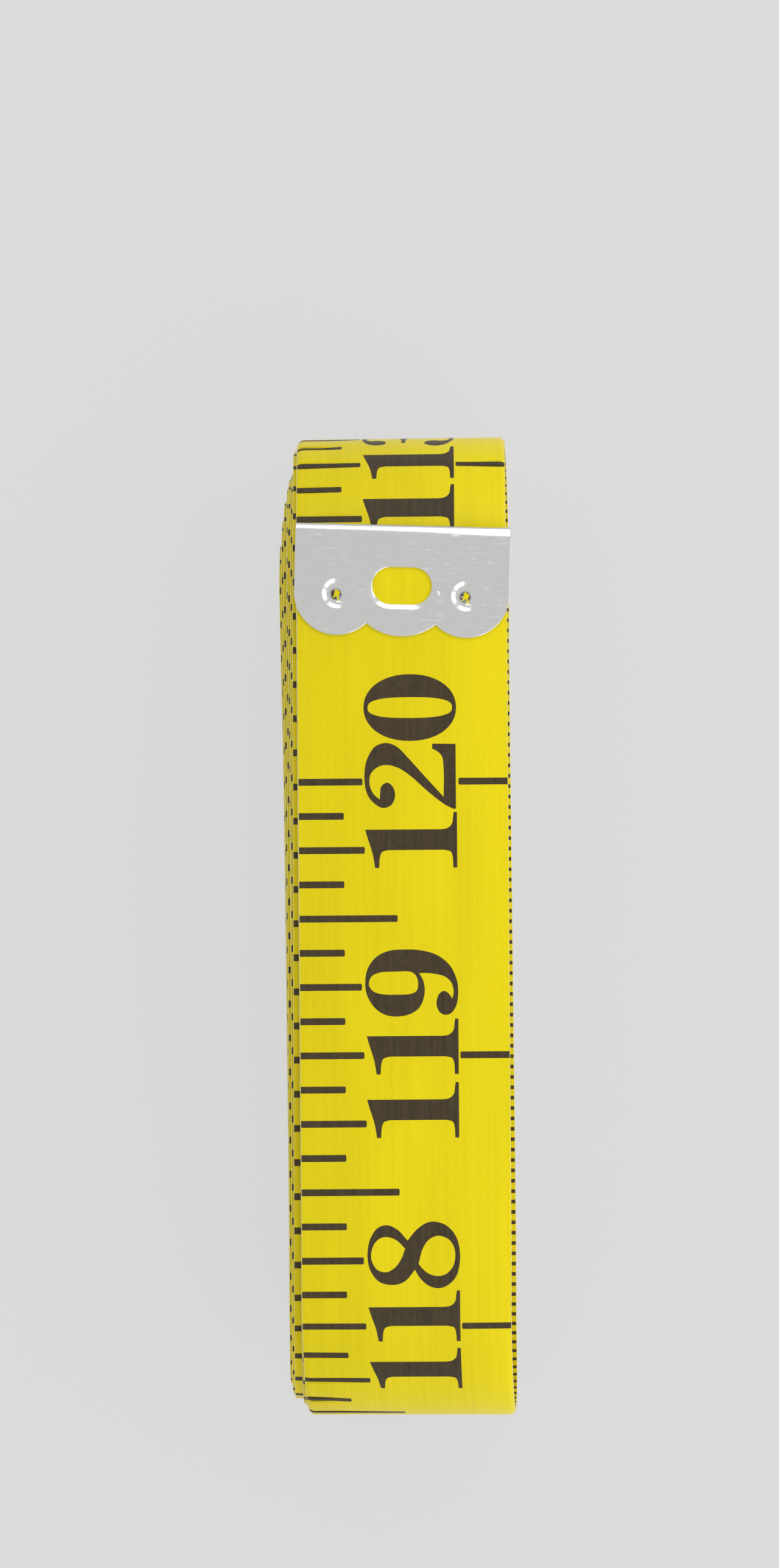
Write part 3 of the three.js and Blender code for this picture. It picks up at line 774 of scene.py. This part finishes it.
def make_vinyl():
    nodes = Nodes("yellow_vinyl")
    coordinates = nodes.attribute("tape")
    streaks = nodes.noise(nodes.scaled(coordinates, (2.2, 0.035, 1.0)), 1.0, 3.0, 0.6)
    clouds = nodes.noise(nodes.scaled(coordinates, (0.18, 0.05, 1.0)), 1.0, 1.0)
    grain = nodes.noise(coordinates, 4.0, 2.0, 0.7)
    tone = nodes.math("ADD", nodes.ranged(streaks, 0.3, 0.7, -0.32, 0.32),
                      nodes.ranged(clouds, 0.3, 0.7, -0.35, 0.35))
    tone = nodes.math("ADD", tone, nodes.ranged(grain, 0.3, 0.7, -0.2, 0.2))
    across = nodes.node("ShaderNodeSeparateXYZ", {"Vector": coordinates}).outputs["X"]
    # Painted shade: the yellow darkens towards the inch edge and lightens towards the metric edge, standing
    # in for how the light falls across the face
    tone = nodes.math("ADD", tone, nodes.ranged(across, 0.0, WIDTH, -0.7, 0.65))
    colour = nodes.mixed(nodes.ranged(tone, -1.3, 1.3), linear(221, 202, 2), linear(249, 229, 4))
    nodes.link(colour, "Base Color")
    nodes.link(nodes.ranged(nodes.math("ADD", streaks, grain), 0.6, 1.4, 0.34, 0.46), "Roughness")
    nodes.set(IOR=1.5, Specular_IOR_Level=0.2, Sheen_Weight=0.8, Sheen_Roughness=0.15)
    height = nodes.math("ADD", weave_height(nodes, coordinates), nodes.ranged(streaks, 0.3, 0.7, -0.8, 0.8))
    nodes.bump(height, COATING_RELIEF)
    return nodes.material


def make_ink():
    nodes = Nodes("printed_ink")
    coordinates = nodes.attribute("tape")
    mottle = nodes.noise(coordinates, 2.6, 4.0, 0.65)
    streaks = nodes.noise(nodes.scaled(coordinates, (3.0, 0.10, 1.0)), 1.0, 2.0)
    tone = nodes.ranged(nodes.math("ADD", mottle, streaks), 0.75, 1.25)
    nodes.link(nodes.mixed(tone, linear(61, 51, 34), linear(77, 65, 43)), "Base Color")
    nodes.link(nodes.ranged(mottle, 0.3, 0.7, 0.38, 0.5), "Roughness")
    nodes.set(IOR=1.5, Specular_IOR_Level=0.22, Sheen_Weight=0.5, Sheen_Roughness=0.15)
    nodes.bump(nodes.math("ADD", weave_height(nodes, coordinates), mottle), COATING_RELIEF)
    return nodes.material


def make_cut_edge():
    nodes = Nodes("cut_tape_edge")
    coordinates = nodes.attribute("tape")
    fibres = nodes.noise(nodes.scaled(coordinates, (1.0, 2.2, 9.0)), 1.0, 3.0, 0.7)
    # The cut edge's pale yellow is partly the cut cloth's own colour and partly a painted reflection of the
    # bright surroundings along the tape's rims
    nodes.link(nodes.mixed(nodes.ranged(fibres, 0.35, 0.7), linear(222, 210, 110), linear(240, 234, 180)),
               "Base Color")
    nodes.set(Roughness=0.6, Specular_IOR_Level=0.3)
    nodes.bump(fibres, FIBRE_RELIEF)
    return nodes.material


# Painted shade: the plated metal is coloured dark brown round each stake hole, where the pierced pit lies in
# shade.
PIT_SHADE_MIDDLE = (-0.12, -0.1)  # the middle of the painted shade in each stake's pierced pit, from each stake's middle
PIT_SHADE_REACH = (0.40, 0.62)


def make_plated():
    nodes = Nodes("plated_sheet_steel")
    coordinates = nodes.attribute("sheet")
    rolling = nodes.noise(nodes.scaled(coordinates, (0.7, 9.0, 1.0)), 1.0, 4.0, 0.65)
    scratches = nodes.noise(nodes.scaled(coordinates, (0.7, 4.6, 1.0)), 1.0, 1.0)
    scratches = nodes.ranged(scratches, 0.60, 0.74)
    patches = nodes.ranged(nodes.noise(coordinates, 0.35, 2.0), 0.42, 0.62)
    scratches = nodes.math("MULTIPLY", scratches, patches)
    grain = nodes.noise(coordinates, 14.0, 2.0, 0.7)
    plain = nodes.mixed(nodes.ranged(rolling, 0.3, 0.7),
                        (0.70, 0.705, 0.69, 1.0), (0.745, 0.75, 0.735, 1.0))
    dashed = nodes.mixed(nodes.math("MULTIPLY", scratches, 0.8), plain, (0.92, 0.92, 0.90, 1.0))
    # Painted shade: round each stake hole the colour turns dark brown where the pierced pit lies in shade,
    # broken into patches by noise
    whole = 1.0
    for x, y in STAKES:
        middle = (x + PIT_SHADE_MIDDLE[0], y + PIT_SHADE_MIDDLE[1] + FRONT_END, 1.0)
        apart = nodes.node("ShaderNodeVectorMath", {0: coordinates, 1: middle}, operation="DISTANCE")
        whole = nodes.math("MINIMUM", whole, nodes.ranged(apart.outputs["Value"], *PIT_SHADE_REACH))
    pit_shade_gaps = nodes.ranged(nodes.noise(coordinates, 2.6, 2.0), 0.50, 0.66)
    nodes.link(nodes.mixed(nodes.math("MAXIMUM", whole, pit_shade_gaps), (0.09, 0.075, 0.04, 1.0), dashed),
               "Base Color")
    rough = nodes.math("ADD", nodes.ranged(rolling, 0.3, 0.7, 0.17, 0.26),
                       nodes.math("MULTIPLY", scratches, 0.12))
    nodes.link(rough, "Roughness")
    nodes.set(Metallic=1.0)
    height = nodes.math("ADD", nodes.math("MULTIPLY", rolling, 0.8), nodes.math("MULTIPLY", grain, 0.5))
    nodes.bump(nodes.math("ADD", height, nodes.math("MULTIPLY", scratches, 0.5)), SHEET_RELIEF)
    return nodes.material


vinyl, ink, cut_edge, plated = make_vinyl(), make_ink(), make_cut_edge(), make_plated()


# The folded metal tip, drawn as the flat blank that it is cut from

FLAP_LEVEL = THICKNESS / 2 + TIP_METAL / 2  # the flaps' middle surface, above and below the tape's
SHOULDER_ANGLE = math.radians(24)
SHOULDER_EASE = 0.2
SHOULDER_LEFT, SHOULDER_RIGHT = 0.44, 0.85  # the sloping band beside the fold, which widens to the right
FOLD_LENGTH = 1.46
RIM_ANGLE = math.radians(27)
RIM_LEAST = 0.22
DISH_ANGLE = math.radians(27)
DISH_INNER, DISH_OUTER = 0.98, 1.40
HOLE_RADIUS = 0.21
TEARS = ((1.85, 0.22), (3.95, 0.45))  # the direction and length of a hole's tears
TEAR_HALF_ANGLE = 0.24
DENTS = ((0.16, -0.78, 0.30, 0.15, 0.9), (-0.12, 0.84, 0.22, 0.11, 0.7))  # place, half sizes, slope
BUMP = (SLOT_LENGTH / 2 + 0.6, -SLOT_FROM_FOLD - 0.65)  # a small bump in the metal beside the slot
BUMP_HEIGHT, BUMP_RADIUS = 0.12, 0.2
RIM_START, RIM_END = 0.10, 0.50  # the slot's pressed rim, from the slot's edge
RIM_CURL = 0.13
RIM_LEAN = 0.25
DISH_LIP, DISH_LIP_WIDTH = 0.02, 0.07
RIM_EASE, DISH_EASE = 0.05, 0.04  # how softly the rim and the dishes begin and end
SOFT_EDGE = 0.05
OUTLINE_RING = 0.07
SLOT_RINGS = (0.03, 0.06, 0.10, 0.14, 0.25, 0.45, 0.49, 0.53, 0.58)  # mesh lines round each feature
BUMP_RINGS = (0.06, 0.12, 0.18, 0.25, 0.34)
STAKE_RINGS = (0.72, 0.86, 0.99, 1.02, 1.06, 1.10, 1.2, 1.31, 1.35, 1.39, 1.44, 1.51, 1.6)


def fold_profile(shoulder):
    """The blank's middle line across the fold: length along it, y, z and slope, from the front flap's end."""
    steps = 400
    slopes = [(0.0, 0.0), (SHOULDER_EASE, SHOULDER_ANGLE), (shoulder, SHOULDER_ANGLE)]
    lengths = np.linspace(0, shoulder, steps)
    drop = np.mean(np.sin(np.interp(lengths, *zip(*slopes)))) * shoulder
    radius = (2 * FLAP_LEVEL - drop) / (1 + math.cos(SHOULDER_ANGLE))
    slopes.append((shoulder + radius * (math.pi - SHOULDER_ANGLE), math.pi))
    lengths = np.linspace(0, slopes[-1][0], steps)
    angles = np.interp(lengths, *zip(*slopes))
    middle = (angles[1:] + angles[:-1]) / 2
    y = np.concatenate([[0], np.cumsum(np.cos(middle) * lengths[1])])
    z = FLAP_LEVEL - np.concatenate([[0], np.cumsum(np.sin(middle) * lengths[1])])
    y -= (y + TIP_METAL / 2 * np.sin(angles)).max()
    y = np.concatenate([[-FRONT_END], y, [-BACK_END]])
    z = np.concatenate([[FLAP_LEVEL], z, [-FLAP_LEVEL]])
    angles = np.concatenate([[0.0], angles, [math.pi]])
    lengths = np.concatenate([[0], np.cumsum(np.hypot(np.diff(y), np.diff(z)))])
    return lengths * FOLD_LENGTH / lengths[-1], y, z, angles


LEFT_FOLD, RIGHT_FOLD = fold_profile(SHOULDER_LEFT), fold_profile(SHOULDER_RIGHT)


def scallops():
    """The lower outline of a flap, from its left side to its right, as (x, distance from the fold)."""
    outer_x = TIP_HALF_WIDTH - OUTER_SCALLOP_RADIUS
    outer_y = TIP_HEIGHT - OUTER_SCALLOP_RADIUS
    middle_y = TIP_HEIGHT - MIDDLE_SCALLOP_RADIUS
    apart = math.hypot(outer_x, outer_y - middle_y)
    along = (apart ** 2 + MIDDLE_SCALLOP_RADIUS ** 2 - OUTER_SCALLOP_RADIUS ** 2) / (2 * apart)
    aside = math.sqrt(MIDDLE_SCALLOP_RADIUS ** 2 - along ** 2)
    cusp_x = (along * outer_x - aside * (outer_y - middle_y)) / apart
    cusp_y = middle_y + (along * (outer_y - middle_y) + aside * outer_x) / apart
    cusp_outer = math.atan2(cusp_y - outer_y, cusp_x - outer_x)
    cusp_middle = math.atan2(cusp_y - middle_y, cusp_x)
    right = arc((outer_x, outer_y), OUTER_SCALLOP_RADIUS, np.linspace(cusp_outer, 0, 30))
    middle = arc((0, middle_y), MIDDLE_SCALLOP_RADIUS,
                 np.linspace(math.pi - cusp_middle, cusp_middle, 22)[1:-1])
    return [(-x, y) for x, y in reversed(right)] + middle + right


def stake_hole(centre, turn):
    """The pierced hole with the two tears that the punch leaves."""
    points = []
    for angle in np.linspace(0, 2 * math.pi, 30, endpoint=False):
        radius = HOLE_RADIUS * (1 + 0.07 * math.sin(3 * angle + turn))
        for tear, length in TEARS:
            off = abs((angle - tear + math.pi) % (2 * math.pi) - math.pi)
            radius += length * max(0.0, 1 - off / TEAR_HALF_ANGLE)
        points.append((centre[0] + radius * math.cos(angle), centre[1] + radius * math.sin(angle)))
    return points


def slot_distance(x, y):
    """How far a point lies from the slot's edge, and how much that side of the rim is pressed down."""
    half = (SLOT_LENGTH - SLOT_WIDTH) / 2
    aside = x - np.clip(x, -half, half)
    distance = np.hypot(aside, y + SLOT_FROM_FOLD) + 1e-6
    towards = -(y + SLOT_FROM_FOLD + RIM_LEAN * aside) / distance
    return distance - SLOT_WIDTH / 2, RIM_LEAST + (1 - RIM_LEAST) * np.clip(towards, 0, 1)


def ramp(distance, start, end, slope, ease):
    """A rise of one slope between two distances, with soft ends."""
    def softened(at):
        over = np.maximum(distance - at + ease, 0)
        return np.where(over < 2 * ease, over ** 2 / (4 * ease), over - ease)
    return slope * (softened(start) - softened(end))


def flap_relief(x, y):
    """How far the front flap stands off its plane at the slot's rim, the bump, the dishes and dents."""
    distance, pressed = slot_distance(x, y)
    slope = math.tan(RIM_ANGLE)
    relief = (ramp(distance, RIM_START, RIM_END, slope, RIM_EASE) - (RIM_END - RIM_START) * slope) * pressed
    relief = relief - 0.5 * np.clip(RIM_CURL - distance, 0, RIM_CURL) ** 1.5 / RIM_CURL ** 0.5
    relief = relief + BUMP_HEIGHT * np.exp(-(np.hypot(x - BUMP[0], y - BUMP[1]) / BUMP_RADIUS) ** 2)
    slope = math.tan(DISH_ANGLE)
    depth = (DISH_OUTER - DISH_INNER) * slope
    for centre_x, centre_y in STAKES:
        dx, dy = x - centre_x, y - centre_y
        radius = np.hypot(dx, dy)
        relief = relief + ramp(radius, DISH_INNER, DISH_OUTER, slope, DISH_EASE) - depth
        lip = (radius - DISH_OUTER - DISH_LIP_WIDTH) / DISH_LIP_WIDTH
        relief = relief + DISH_LIP * np.exp(-lip ** 2)
        for dent_x, dent_y, wide, tall, steep in DENTS:
            fade = np.exp(-((dx - dent_x) / wide) ** 2 - ((dy - dent_y) / tall) ** 2)
            relief = relief - steep * (dy - dent_y) * fade
    return relief


def blank_place(x, along, depth, relief):
    """Points of the folded blank. along runs from 0 to FOLD_LENGTH over the fold between the flaps."""
    right = np.clip((x + TIP_HALF_WIDTH) / (2 * TIP_HALF_WIDTH), 0, 1)
    y, z, slope = (np.interp(along, LEFT_FOLD[0], a) * (1 - right)
                   + np.interp(along, RIGHT_FOLD[0], b) * right
                   for a, b in zip(LEFT_FOLD[1:], RIGHT_FOLD[1:]))
    y = y + np.where(along < 0, along, 0) - np.where(along > FOLD_LENGTH, along - FOLD_LENGTH, 0)
    return np.stack([x, y + depth * np.sin(slope), z + depth * np.cos(slope) + relief], axis=1)


def on_front(shape):
    return [(x, y + FRONT_END) for x, y in shape]


def blank_lines():
    """The points and edges that the blank is meshed on, with its outline and its holes."""
    lower = scallops()
    outline = [(x, FRONT_END - y) for x, y in lower]
    outline += [(x, FOLD_LENGTH + y - BACK_END) for x, y in reversed(lower)]
    slot = slot_outline(0)
    holes = [on_front(slot), [(x, FOLD_LENGTH - y - BACK_END) for x, y in slot]]
    loops = [outline, inset_outline(outline, OUTLINE_RING), *holes]
    loops += [on_front(slot_outline(grow)) for grow in SLOT_RINGS]
    loops += [on_front(circle(BUMP, radius, 24)) for radius in BUMP_RINGS]
    for index, centre in enumerate(STAKES):
        holes.append(on_front(stake_hole(centre, 0.25 * index)))
        loops += [holes[-1], *(on_front(circle(centre, radius, 48)) for radius in STAKE_RINGS)]
    points, edges = [], []
    for shape in loops:
        add_line(points, edges, shape, True)
    for along in np.linspace(0, FOLD_LENGTH, 19):
        fold_line = [(x, along) for x in np.linspace(-TIP_HALF_WIDTH, TIP_HALF_WIDTH, 21)]
        add_line(points, edges, fold_line, False)
    return points, edges, outline, holes


def tip_object(name, matrix):
    points, edges, outline, holes = blank_lines()
    corners, triangles = triangulated(points, edges)
    centres = corners[triangles].mean(axis=1)
    keep = inside(centres, [outline])
    for hole in holes:
        keep &= ~inside(centres, [hole])
    triangles = triangles[keep]
    used = np.unique(triangles)
    renumber = -np.ones(len(corners), int)
    renumber[used] = np.arange(len(used))
    corners, triangles = corners[used], renumber[triangles]

    x, along = corners[:, 0], corners[:, 1]
    front = along < 0
    y = along - FRONT_END

    def relief_at(px, py):
        return np.where(front, flap_relief(px, py), 0.0)

    step = 0.004
    relief = relief_at(x, y)
    slope_x = (relief_at(x + step, y) - relief_at(x - step, y)) / (2 * step)
    slope_y = (relief_at(x, y + step) - relief_at(x, y - step)) / (2 * step)
    length = np.sqrt(1 + slope_x ** 2 + slope_y ** 2)
    sides = dict.fromkeys(side for a, b, c in triangles.tolist() for side in ((a, b), (b, c), (c, a)))
    rim = [(a, b) for a, b in sides if (b, a) not in sides]
    count = len(corners)
    soft = np.zeros((count, 1))
    soft[np.array(rim).ravel()] = SOFT_EDGE
    outer = blank_place(x, along, TIP_METAL / 2, relief)
    inner = blank_place(x, along, -TIP_METAL / 2, 0.0)
    normal = np.stack([-slope_x / length, -slope_y / length, 1 / length], axis=1)
    inner[front] = (outer - TIP_METAL * normal)[front]
    through = (outer - inner) / TIP_METAL
    outer -= through * soft
    inner += through * soft
    faces = triangles.tolist() + (triangles[:, ::-1] + count).tolist()
    faces += [[b, a, a + count, b + count] for a, b in rim]
    flat = np.concatenate([np.stack([x, along, np.full(count, side)], axis=1) for side in (1.0, -1.0)])
    thing = mesh_object(name, np.concatenate([outer, inner]), faces, "sheet", flat, (plated,),
                        np.zeros(len(faces)), TIP_SHARP_ANGLE)
    thing.data.transform(matrix)
    return thing


def inset_outline(outline, distance):
    """The outline moved inwards by a small distance, corner by corner."""
    points = np.array(outline)
    after = np.roll(points, -1, axis=0) - points
    after /= np.linalg.norm(after, axis=1)[:, None]
    before = np.roll(after, 1, axis=0)
    area = np.sum(points[:, 0] * np.roll(points[:, 1], -1) - np.roll(points[:, 0], -1) * points[:, 1])
    sign = 1 if area > 0 else -1
    normals = np.stack([-(before + after)[:, 1], (before + after)[:, 0]], axis=1) * sign
    normals /= np.linalg.norm(normals, axis=1)[:, None]
    cosine = np.clip(np.sum(normals * np.stack([-before[:, 1], before[:, 0]], axis=1) * sign, axis=1), 0.5, 1)
    return [tuple(point) for point in points + normals * distance / cosine[:, None]]


# The pieces

LINK_TURNS = (29.6, 90.0, 150.4)  # how far the links turn when the free run lies flat
LINK_MARGIN = 1.6  # how far the end links reach onto the straight runs
bend_start, bend_end = path.bends[0]


def run_where_turned(degrees):
    """The run inside the outer bend where the tape has turned this far from the hank's side."""
    runs, angles = path.table[0], path.table[3]
    bend = (runs >= bend_start) & (runs <= bend_end)
    return float(np.interp(2 * math.pi - math.radians(degrees), angles[bend], runs[bend]))


seams = [bend_end + LINK_MARGIN, *(run_where_turned(degrees) for degrees in LINK_TURNS),
         bend_start - LINK_MARGIN]
CORE_START = NUMBERED_RUN


def tip_matrix(x, y, z, degrees):
    return Matrix.Translation(Vector((x, y, z)) * MM) @ Matrix.Rotation(math.radians(degrees), 4, "Z")


outer_x = FREE_RUN_X + (REFERENCE_Y - OUTER_FOLD_Y) * tangent(FACE_SLANTS[0]) + OUTER_TIP_OFFSET
outer_matrix = tip_matrix(outer_x, OUTER_FOLD_Y, face_height(0), OUTER_TIP_TILT)
inner_matrix = tip_matrix(INNER_TIP_X, INNER_FOLD_Y, INNER_TIP_Z, 0.0)


free_run = Strip(TAPE_START, seams[-1], True).object("free_run")
links = []
for index, (far, near) in enumerate(zip(seams, seams[1:])):
    links.append(Strip(near, far, True).object(f"outer_bend_{index + 1}"))
outer_turns = Strip(seams[0], CORE_START, True).object("outer_turns")
inner_turns = Strip(CORE_START, path.length - TAPE_START, False).object("inner_turns")
outer_tip = tip_object("folded_tip_outer", outer_matrix)
inner_tip = tip_object("folded_tip_inner", inner_matrix)

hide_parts("tape_winding")
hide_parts("tape_winding")
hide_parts("tape_bend_1")
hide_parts("tape_bend_2")
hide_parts("tape_bend_3")
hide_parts("tape_free_run")
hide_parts("outer_end_tip")
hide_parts("inner_end_tip")

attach(outer_turns, "hank")
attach(inner_turns, "hank")
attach(inner_tip, "hank")
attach(free_run, "free_end")
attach(outer_tip, "free_end")


def centre_point(run):
    return tuple(place(np.array([run]), np.array([WIDTH / 2]), np.array([0.0]))[0] * MM)


for index, link in enumerate(links):
    centre_point(seams[index])
    centre_point(seams[index + 1])
    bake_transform(link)


# The floor, the lights and the camera

FLOOR_GLOW = 0.85  # how much of the floor's brightness to the camera doesn't depend on the lamps


def make_floor():
    mesh = bpy.data.meshes.new("floor")
    size = 3.0
    mesh.from_pydata([(-size, -size, 0), (size, -size, 0), (size, size, 0), (-size, size, 0)], [],
                     [(0, 1, 2, 3)])
    nodes = Nodes("pale_floor")
    coordinates = nodes.node("ShaderNodeTexCoord").outputs["Object"]
    cloud = nodes.noise(coordinates, 6.0, 2.0)
    nodes.link(nodes.mixed(cloud, (0.80, 0.80, 0.805, 1), (0.84, 0.84, 0.845, 1)), "Base Color")
    nodes.set(Roughness=0.9, Specular_IOR_Level=0.2)
    light_path = nodes.node("ShaderNodeLightPath")
    seen = nodes.math("MAXIMUM", light_path.outputs["Is Camera Ray"], light_path.outputs["Is Glossy Ray"])
    seen = nodes.math("MAXIMUM", seen, light_path.outputs["Is Transmission Ray"])
    glow = nodes.node("ShaderNodeEmission", {"Color": linear(219, 219, 220), "Strength": 1.0})
    blend = nodes.node("ShaderNodeMixShader", {0: nodes.math("MULTIPLY", seen, FLOOR_GLOW),
                                               1: nodes.shader.outputs[0], 2: glow.outputs[0]})
    nodes.tree.links.new(blend.outputs[0], nodes.tree.nodes["Material Output"].inputs["Surface"])
    mesh.materials.append(nodes.material)
    linked("floor", mesh)


def area_light(name, place_at, target, size, power):
    data = bpy.data.lights.new(name, "AREA")
    data.shape, data.size, data.size_y, data.energy = "RECTANGLE", size[0], size[1], power
    light = linked(name, data)
    light.location = place_at
    light.rotation_euler = (Vector(target) - Vector(place_at)).to_track_quat("-Z", "Y").to_euler()


make_floor()
area_light("top_softbox", (0.12, 0.58, 0.48), (0, 0.01, 0.015), (0.5, 0.28), 0.62)
area_light("side_softbox", (0.62, 0.12, 0.42), (0, 0.01, 0.015), (0.5, 0.28), 0.68)
area_light("lower_softbox", (0.36, -0.46, 0.42), (0, 0, 0.015), (0.5, 0.3), 0.72)

world = bpy.data.worlds.new("studio")
world.use_nodes = True
sky = world.node_tree.nodes["Background"].inputs
sky["Color"].default_value = (1.0, 1.0, 1.0, 1.0)
sky["Strength"].default_value = 0.745
bpy.context.scene.world = world

PHOTO_HEIGHT = 2576
PIXELS_PER_MM = 17.70
CAMERA_HEIGHT = 664.4
CAMERA_X, CAMERA_Y = -0.995, 13.48
SENSOR = 36.0
camera_data = bpy.data.cameras.new("camera")
camera_data.sensor_width = SENSOR
camera_data.lens = SENSOR / 2 / (PHOTO_HEIGHT / 2 / PIXELS_PER_MM / CAMERA_HEIGHT)
camera_data.clip_start, camera_data.clip_end = 0.01, 10
camera = linked("camera", camera_data)
camera.location = Vector((CAMERA_X, CAMERA_Y, FACE_TOP + CAMERA_HEIGHT)) * MM
bpy.context.scene.camera = camera
bpy.context.scene.view_settings.view_transform = "Standard"
